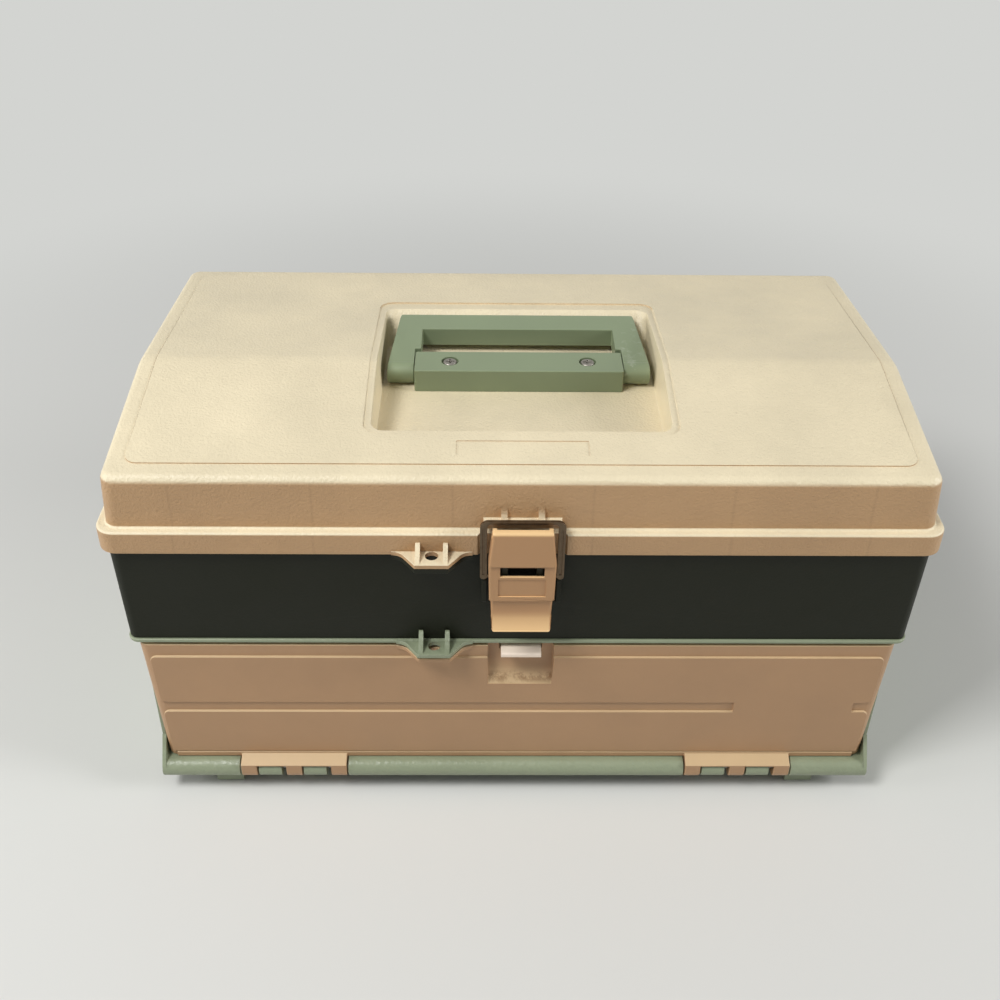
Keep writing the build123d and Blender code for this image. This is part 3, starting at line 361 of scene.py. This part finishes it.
def clear_polystyrene():
    """Clear moulded polystyrene dividers: see-through, with faint cloudiness in the grip."""
    material, tree = new_material("clear_moulded_polystyrene")
    place = node(tree, "TexCoord")
    haze = node(tree, "TexNoise", {"Scale": 1 / (9 * MM), "Detail": 3.0},
                {"Vector": (place, "Object")})
    dull = node(tree, "MapRange", {"To Min": 0.05, "To Max": 0.25}, {"Value": (haze, "Fac")})
    shader = node(tree, "BsdfPrincipled", {"Base Color": rgba(colours().divider), "IOR": 1.59,
                                           "Transmission Weight": 0.85},
                  {"Roughness": (dull, "Result")})
    node(tree, "OutputMaterial", links={"Surface": (shader, "BSDF")})
    return material


def plated_steel(name, bright, dull, roughness):
    """Pressed or turned steel under plating that fingers have dulled: a cloudy grey metal."""
    material, tree = new_material(name)
    place = node(tree, "TexCoord")
    cloud = node(tree, "TexNoise", {"Scale": 1 / (3 * MM), "Detail": 5.0, "Roughness": 0.65},
                 {"Vector": (place, "Object")})
    tint = node(tree, "Mix", {6: rgba(dull), 7: rgba(bright)}, {0: (cloud, "Fac")},
                data_type="RGBA")
    worn = node(tree, "MapRange", {"From Min": 0.3, "From Max": 0.7, "To Min": roughness - 0.08,
                                   "To Max": roughness + 0.1}, {"Value": (cloud, "Fac")})
    edges = node(tree, "Bevel", {"Radius": 0.3 * MM}, samples=6)
    bump = node(tree, "Bump", {"Strength": 0.3, "Distance": 0.03 * MM},
                {"Height": (cloud, "Fac"), "Normal": (edges, "Normal")})
    shader = node(tree, "BsdfPrincipled", {"Metallic": 1.0},
                  {"Base Color": (tint, 2), "Roughness": (worn, "Result"),
                   "Normal": (bump, "Normal")})
    node(tree, "OutputMaterial", links={"Surface": (shader, "BSDF")})
    return material


def zinc_plated_steel():
    """Zinc-plated steel of the pins and screws: bright grey under a light haze."""
    return plated_steel("zinc_plated_steel", colours().steel, colours().steel_dull, 0.36)


def browned_and_shaded_steel():
    """Pressed steel of the bail, browned by age and handling: a duller grey, drawn darker as
    painted shade.
    """
    return plated_steel("browned_and_shaded_pressed_steel", colours().bail_steel, colours().bail_dull, 0.42)


def seen_directly(tree):
    """1 for the rays of the camera, also those off metal and through glass, and 0 for light."""
    path = node(tree, "LightPath")
    shown = node(tree, "Math", links={0: (path, "Is Camera Ray"), 1: (path, "Is Glossy Ray")},
                 operation="MAXIMUM")
    return node(tree, "Math", links={0: (shown, 0), 1: (path, "Is Transmission Ray")},
                operation="MAXIMUM")


def floor_paint():
    """Matt studio paint: plain and pale, and as pale far from the lamps as close to the box."""
    material, tree = new_material("matt_studio_paint")
    paint = node(tree, "BsdfPrincipled", {"Base Color": rgba(colours().floor),
                                          "Roughness": 0.85, "Specular IOR Level": 0.2})
    # Past the box's own shadow the camera sees an even tone instead of the lamps' falling light.
    seen = node(tree, "Emission", {"Color": rgba(colours().surround), "Strength": 1.0})
    place = node(tree, "TexCoord")
    away = node(tree, "VectorMath", links={0: (place, "Object")}, operation="LENGTH")
    far = node(tree, "MapRange", {"From Min": sizes().fade_start, "From Max": sizes().fade_end},
               {"Value": (away, "Value")}, interpolation_type="SMOOTHSTEP")
    share = node(tree, "Math", links={0: (far, "Result"), 1: (seen_directly(tree), 0)},
                 operation="MULTIPLY")
    shader = node(tree, "MixShader", links={0: (share, 0), 1: (paint, 0), 2: (seen, 0)})
    node(tree, "OutputMaterial", links={"Surface": (shader, 0)})
    return material


def finish(material, *names):
    """Gives CAD nodes their material."""
    for name in names:
        slots = NODES[name].data.materials
        slots.clear()
        slots.append(material)


def deselect():
    """Leaves nothing selected and nothing in edit mode."""
    if bpy.context.mode != "OBJECT":
        bpy.ops.object.mode_set(mode="OBJECT")
    bpy.ops.object.select_all(action="DESELECT")


def stands_for(piece, name, material):
    """The piece takes the place and the body of a CAD node, and gets its material."""
    piece.data.materials.clear()
    piece.data.materials.append(material)
    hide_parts(name)
    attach(piece, BODY_OF[name])


def working_copy(name):
    """A copy of a CAD node with its loose triangles merged, active and selected."""
    deselect()
    piece = bpy.data.objects.new(name + "_moulded", NODES[name].data.copy())
    bpy.context.scene.collection.objects.link(piece)
    bpy.context.view_layer.objects.active = piece
    piece.select_set(True)
    bpy.ops.mesh.customdata_custom_splitnormals_clear()
    bpy.ops.object.mode_set(mode="EDIT")
    bpy.ops.mesh.select_all(action="SELECT")
    bpy.ops.mesh.remove_doubles(threshold=0.01 * MM)
    bpy.ops.object.mode_set(mode="OBJECT")
    return piece


def pick(piece, wanted):
    """Goes into edit mode with only the wanted vertices of the active piece selected."""
    bpy.ops.object.mode_set(mode="EDIT")
    bpy.ops.mesh.select_mode(type="VERT")
    bpy.ops.mesh.select_all(action="DESELECT")
    mesh = bmesh.from_edit_mesh(piece.data)
    for vertex in mesh.verts:
        vertex.select_set(wanted(vertex.co))
    mesh.select_flush_mode()
    bmesh.update_edit_mesh(piece.data)


def reach(face, edge):
    """How far a face and the flat faces around it reach from one of its edges."""
    start = edge.verts[0].co
    along = (edge.verts[1].co - start).normalized()
    found, waiting, farthest = {face}, [face], 0.0
    while waiting and len(found) < FLAT_FACES:
        current = waiting.pop()
        for vertex in current.verts:
            offset = vertex.co - start
            farthest = max(farthest, (offset - along * offset.dot(along)).length)
        for other in (other for side in current.edges for other in side.link_faces):
            if other not in found and other.normal.dot(face.normal) > FLAT:
                found.add(other)
                waiting.append(other)
    return farthest


def chains(edges):
    """Groups edges that meet at their ends."""
    waiting = set(edges)
    while waiting:
        chain, ends = [], [waiting.pop()]
        while ends:
            chain.append(ends.pop())
            for other in {side for vertex in chain[-1].verts for side in vertex.link_edges}:
                if other in waiting:
                    waiting.remove(other)
                    ends.append(other)
        yield chain


def spread(chain):
    """The longest side of the box around a chain of edges."""
    places = [vertex.co for edge in chain for vertex in edge.verts]
    return max(max(place[i] for place in places) - min(place[i] for place in places)
               for i in range(3))


def narrow(edge, sharp):
    """Whether another sharp edge leaves one of this edge's ends almost beside it."""
    for vertex in edge.verts:
        away = edge.other_vert(vertex).co - vertex.co
        for other in vertex.link_edges:
            if other is not edge and other in sharp:
                beside = other.other_vert(vertex).co - vertex.co
                if away.angle(beside, 0) < CROWDED:
                    return True
    return False


def weigh_edges(piece, radius):
    """Marks for rounding the sharp edges whose faces can take the radius, but not small rims."""
    mesh = bmesh.new()
    mesh.from_mesh(piece.data)
    mesh.edges.index_update()
    weights = [0.0] * len(mesh.edges)
    sharp = {edge for edge in mesh.edges
             if len(edge.link_faces) == 2 and edge.calc_face_angle(0) > SHARP}
    for chain in chains(sharp):
        if spread(chain) > SMALL_RIM:
            for edge in chain:
                wide = all(reach(face, edge) > ROOM * radius for face in edge.link_faces)
                weights[edge.index] = float(wide and not narrow(edge, sharp))
    mesh.free()
    layer = piece.data.attributes.new("bevel_weight_edge", "FLOAT", "EDGE")
    layer.data.foreach_set("value", weights)


def round_edges(piece, radius):
    """Rounds the sharp edges of a moulding, as its mould leaves them, and shades it smoothly."""
    weigh_edges(piece, radius)
    bevel = piece.modifiers.new("mould_radius", "BEVEL")
    bevel.width = radius
    bevel.segments = 3
    bevel.limit_method = "WEIGHT"
    bevel.face_strength_mode = "FSTR_ALL"
    bevel.use_clamp_overlap = False
    bpy.ops.object.modifier_apply(modifier=bevel.name)
    bpy.ops.object.shade_smooth_by_angle(angle=SMOOTH)
    flat = piece.modifiers.new("flat_faces", "WEIGHTED_NORMAL")
    flat.keep_sharp = True
    flat.use_face_influence = True
    bpy.ops.object.modifier_apply(modifier=flat.name)
    lowest, highest = cad_bounds
    for vertex in piece.data.vertices:
        if any(not lowest[i] - MM < vertex.co[i] < highest[i] + MM for i in range(3)):
            raise RuntimeError("rounding " + piece.name + " threw a vertex out of the box")


def moulded(name, radius, material, shape=None):
    """Puts a copy of a CAD node with rounded edges in its place, shaped first if asked."""
    piece = working_copy(name)
    if shape:
        shape(piece)
    round_edges(piece, radius)
    stands_for(piece, name, material)
    return piece


class TACKLE_OT_stage(bpy.types.Operator):
    """Adds the floor, the soft lights, the backdrop and the camera"""
    bl_idname = "tackle_box.stage"
    bl_label = "Studio stage"

    # The camera's place is in millimetres and the stage's other places are in metres.
    camera_place = (-22.27, -650.41, 602.31)
    camera_pitch = 36.02
    camera_yaw = 1.08
    camera_roll = 0.86
    camera_lens = 44.04
    floor_half = 6.0
    key_place = (-0.9, -0.75)
    key_watts = 23.0
    right_place = (1.6, -0.4, 0.8)
    right_watts = 16.0
    left_place = (-1.6, -0.3, 0.6)
    left_watts = 9.0
    aim_height = 0.12
    ambient_strength = 0.2

    def execute(self, context):
        size = sizes()
        deselect()
        bpy.ops.mesh.primitive_plane_add(size=2 * self.floor_half, location=(0, 0, 0))
        floor = context.object
        floor.name = "studio_floor"
        floor.data.materials.append(floor_paint())
        self.lamp("key_light", (*self.key_place, size.key_height), size.key_size, self.key_watts)
        self.lamp("right_light", self.right_place, size.side_size, self.right_watts)
        self.lamp("left_light", self.left_place, size.side_size, self.left_watts)
        self.backdrop(context.scene)
        self.camera(context.scene)
        context.scene.view_settings.view_transform = "Standard"
        return {"FINISHED"}

    def lamp(self, name, place, size, watts):
        """A square soft light aimed at the middle of the box."""
        aim = Vector((0, 0, self.aim_height)) - Vector(place)
        bpy.ops.object.light_add(type="AREA", location=place,
                                 rotation=aim.to_track_quat("-Z", "Y").to_euler())
        light = bpy.context.object
        light.name = name
        light.data.size = size
        light.data.energy = watts

    def backdrop(self, scene):
        """An even grey surround that lights softly and looks pale where it is seen."""
        scene.world = bpy.data.worlds.new("studio_world")
        scene.world.use_nodes = True
        tree = scene.world.node_tree
        tree.nodes.clear()
        ambient = node(tree, "Background", {"Color": rgba(colours().ambient),
                                            "Strength": self.ambient_strength})
        seen = node(tree, "Background", {"Color": rgba(colours().surround), "Strength": 1.0})
        mixed = node(tree, "MixShader", links={0: (seen_directly(tree), 0), 1: (ambient, 0),
                                               2: (seen, 0)})
        node(tree, "OutputWorld", links={"Surface": (mixed, 0)})

    def camera(self, scene):
        """The camera at the photograph's place, angle and lens."""
        bpy.ops.object.camera_add()
        camera = bpy.context.object
        camera.data.lens = self.camera_lens
        camera.data.sensor_width = 36.0
        turn = (Matrix.Rotation(math.radians(-self.camera_yaw), 4, "Z")
                @ Matrix.Rotation(math.radians(90 - self.camera_pitch), 4, "X")
                @ Matrix.Rotation(math.radians(self.camera_roll), 4, "Z"))
        camera.matrix_world = Matrix.Translation(Vector(self.camera_place) * MM) @ turn
        scene.camera = camera


class TACKLE_OT_lid(bpy.types.Operator):
    """Rounds and finishes the lid and its padlock tab"""
    bl_idname = "tackle_box.lid"
    bl_label = "Lid"

    def execute(self, context):
        tan = tan_polypropylene()
        moulded("lid_shell", sizes().edge, tan)
        moulded("lid_lock_tab", sizes().fine_edge, tan)
        return {"FINISHED"}


class TACKLE_OT_handle(bpy.types.Operator):
    """Rounds the grip and its bracket, and cuts the cross recesses of their screws"""
    bl_idname = "tackle_box.handle"
    bl_label = "Handle"

    # The cross recess in millimetres, and how far each screw's is turned in degrees.
    cross_width = 1.1
    cross_length = 4.6
    cross_depth = 1.6
    cross_taper = 0.45
    turns = (14.0, 52.0)

    def execute(self, context):
        sage = sage_polypropylene()
        moulded("handle_grip", sizes().edge, sage)
        moulded("handle_bracket", sizes().edge, sage)
        self.screws(zinc_plated_steel())
        return {"FINISHED"}

    def screws(self, steel):
        """The two pan-head screws, each with a cross recess turned its own way."""
        lowest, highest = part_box("handle_screws")
        head = (highest[1] - lowest[1]) / 2
        places = [(x, (lowest[1] + highest[1]) / 2, highest[2])
                  for x in (lowest[0] + head, highest[0] - head)]
        cutters = [self.cross(place, turn) for place, turn in zip(places, self.turns)]
        piece = working_copy("handle_screws")
        for cutter in cutters:
            cut = piece.modifiers.new("cross", "BOOLEAN")
            cut.operation = "DIFFERENCE"
            cut.object = cutter
            bpy.ops.object.modifier_apply(modifier=cut.name)
            bpy.data.objects.remove(cutter)
        bpy.ops.object.shade_smooth_by_angle(angle=SMOOTH)
        stands_for(piece, "handle_screws", steel)

    def cross(self, place, turn):
        """The tapered cross that is sunk into a screw's head."""
        deselect()
        bars = []
        for quarter in (0, 90):
            size = (self.cross_length * MM, self.cross_width * MM, 2 * self.cross_depth * MM)
            bpy.ops.mesh.primitive_cube_add(size=1, location=place, scale=size,
                                            rotation=(0, 0, math.radians(turn + quarter)))
            bars.append(bpy.context.object)
            pick(bars[-1], lambda corner: corner.z < 0)
            bpy.ops.transform.resize(value=(self.cross_taper, self.cross_taper, 1.0),
                                     center_override=place)
            bpy.ops.object.mode_set(mode="OBJECT")
        deselect()
        first, second = bars
        bpy.context.view_layer.objects.active = first
        first.select_set(True)
        union = first.modifiers.new("union", "BOOLEAN")
        union.operation = "UNION"
        union.object = second
        bpy.ops.object.modifier_apply(modifier=union.name)
        bpy.data.objects.remove(second)
        return first


class TACKLE_OT_latch(bpy.types.Operator):
    """Shapes and rounds the latch's lever, and finishes its bail and pin"""
    bl_idname = "tackle_box.latch"
    bl_label = "Latch"

    # Millimetres, apart from the squareness: 2 is round and higher is squarer. A row is a height
    # above the lever's foot.
    head_radius = 4.0
    head_squareness = 4.0
    barrel_slack = 0.05
    grip_row = 13.0
    grip_sink = 1.0
    thumb_row = 7.0
    thumb_sink = 2.1
    row_reach = 0.4
    row_depth = 5.2
    rim_reach = 2.8

    def execute(self, context):
        moulded("latch_lever", sizes().fine_edge, latch_polypropylene(), self.shape)
        finish(browned_and_shaded_steel(), "latch_bail")
        finish(zinc_plated_steel(), "latch_pin")
        return {"FINISHED"}

    def shape(self, lever):
        """Squares the lever's head, hollows it above the thumb lip and rounds its long edges."""
        self.square_head(lever)
        self.sink_row(lever, self.thumb_row, self.thumb_sink)
        self.sink_row(lever, self.grip_row, self.grip_sink)
        self.round_rims(lever)

    def square_head(self, lever):
        """The head's front corner is squarer than a plain barrel around the pin."""
        lowest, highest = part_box("latch_pin")
        axis_y, axis_z = (lowest[1] + highest[1]) / 2, (lowest[2] + highest[2]) / 2
        radius = self.head_radius * MM
        for vertex in lever.data.vertices:
            across, up = vertex.co.y - axis_y, vertex.co.z - axis_z
            on_barrel = abs(math.hypot(across, up) - radius) < self.barrel_slack * MM
            if across < 0 < up and on_barrel:
                power = self.head_squareness
                share = (abs(across / radius) ** power + (up / radius) ** power) ** (1 / power)
                vertex.co.y = axis_y + across / share
                vertex.co.z = axis_z + up / share

    def sink_row(self, lever, row, sink):
        """Moves the front corners at a height above the lever's foot towards the back."""
        front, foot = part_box("latch_lever")[0][1:]
        pick(lever, lambda place: (abs(place.z - foot - row * MM) < self.row_reach * MM
                                   and place.y - front < self.row_depth * MM))
        bpy.ops.transform.translate(value=(0, sink * MM, 0))
        bpy.ops.object.mode_set(mode="OBJECT")

    def round_rims(self, lever):
        """Rounds the two long edges that run down the lever's sides."""
        middle = (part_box("latch_pin")[0][1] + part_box("latch_pin")[1][1]) / 2
        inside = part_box("latch_lever")[1][0] - self.rim_reach * MM
        bpy.ops.object.mode_set(mode="EDIT")
        bpy.ops.mesh.select_mode(type="EDGE")
        bpy.ops.mesh.select_all(action="DESELECT")
        mesh = bmesh.from_edit_mesh(lever.data)
        for edge in mesh.edges:
            first, second = (vertex.co for vertex in edge.verts)
            along = (second - first).normalized()
            edge.select = (edge.calc_face_angle(0) > SHARP and abs(along.x) < 0.4
                           and max(first.y, second.y) < middle
                           and min(abs(first.x), abs(second.x)) > inside)
        bmesh.update_edit_mesh(lever.data)
        bpy.ops.mesh.bevel(offset=sizes().lever_edge, segments=4, affect="EDGES")
        bpy.ops.object.mode_set(mode="OBJECT")


class TACKLE_OT_case(bpy.types.Operator):
    """Rounds and finishes the upper tub, the drawer case and its base"""
    bl_idname = "tackle_box.case"
    bl_label = "Case"

    # The walls' corner radius and the flange's height, in millimetres.
    wall_radius = 8.0
    flange = 2.6

    def execute(self, context):
        olive = olive_polypropylene()
        moulded("upper_tub", sizes().edge, olive)
        moulded("rim_lock_tab", sizes().fine_edge, olive)
        sage = cabinet_polypropylene()
        moulded("cabinet_shell", sizes().edge, sage, self.trim_rails)
        moulded("base_tray", sizes().fine_edge, sage)
        moulded("cabinet_lock_tab", sizes().fine_edge, sage)
        finish(zinc_plated_steel(), "handle_nuts", "tub_screws", "lid_hinge_pins",
               "door_hinge_pins", "catch_pin")
        return {"FINISHED"}

    def trim_rails(self, shell):
        """Draws the rails' rear corners in, flush with the rounded corners of the walls."""
        half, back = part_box("base_tray")[1][:2]
        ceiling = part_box("cabinet_shell")[1][2] - self.flange * MM
        radius = self.wall_radius * MM
        for vertex in shell.data.vertices:
            place = vertex.co
            past_x, past_y = abs(place.x) - half + radius, place.y - back + radius
            away = math.hypot(past_x, past_y)
            if min(past_x, past_y) > 0 and place.z < ceiling and away > radius + 0.1 * MM:
                place.x = math.copysign(half - radius + past_x * radius / away, place.x)
                place.y = back - radius + past_y * radius / away


class TACKLE_OT_door(bpy.types.Operator):
    """Rounds and finishes the front door, its padlock tab and its catch"""
    bl_idname = "tackle_box.door"
    bl_label = "Door"

    def execute(self, context):
        tan = door_polypropylene()
        moulded("front_door", sizes().edge, tan)
        moulded("door_lock_tab", sizes().fine_edge, tan)
        moulded("door_catch", sizes().fine_edge, catch_acetal())
        return {"FINISHED"}


class TACKLE_OT_drawers(bpy.types.Operator):
    """Finishes the drawers and their loose dividers"""
    bl_idname = "tackle_box.drawers"
    bl_label = "Drawers"

    def execute(self, context):
        levels = ("bottom", "middle", "top")
        finish(cream_polystyrene(), *("drawer_" + level for level in levels))
        finish(clear_polystyrene(), *("dividers_" + level for level in levels))
        return {"FINISHED"}


OPERATORS = (TACKLE_OT_stage, TACKLE_OT_lid, TACKLE_OT_handle, TACKLE_OT_latch, TACKLE_OT_case,
             TACKLE_OT_door, TACKLE_OT_drawers)


class TACKLE_PT_panel(bpy.types.Panel):
    """Sidebar panel with the box's steps and settings"""
    bl_idname = "TACKLE_PT_panel"
    bl_label = "Tackle Box"
    bl_space_type = "VIEW_3D"
    bl_region_type = "UI"
    bl_category = "Tackle Box"

    def draw(self, context):
        column = self.layout.column()
        for group in (context.scene.tackle_box_sizes, context.scene.tackle_box_colours):
            for name in group.__annotations__:
                column.prop(group, name)
        for operator in OPERATORS:
            column.operator(operator.bl_idname)


CLASSES = (BoxColours, BoxSizes, *OPERATORS, TACKLE_PT_panel)


def register():
    for cls in CLASSES:
        bpy.utils.register_class(cls)
    bpy.types.Scene.tackle_box_colours = PointerProperty(type=BoxColours)
    bpy.types.Scene.tackle_box_sizes = PointerProperty(type=BoxSizes)


def unregister():
    del bpy.types.Scene.tackle_box_sizes
    del bpy.types.Scene.tackle_box_colours
    for cls in reversed(CLASSES):
        bpy.utils.unregister_class(cls)


def main():
    """Builds the whole scene."""
    register()
    steps = bpy.ops.tackle_box
    for step in (steps.stage, steps.lid, steps.handle, steps.latch, steps.case, steps.door,
                 steps.drawers):
        step()


if __name__ == "__main__":
    main()
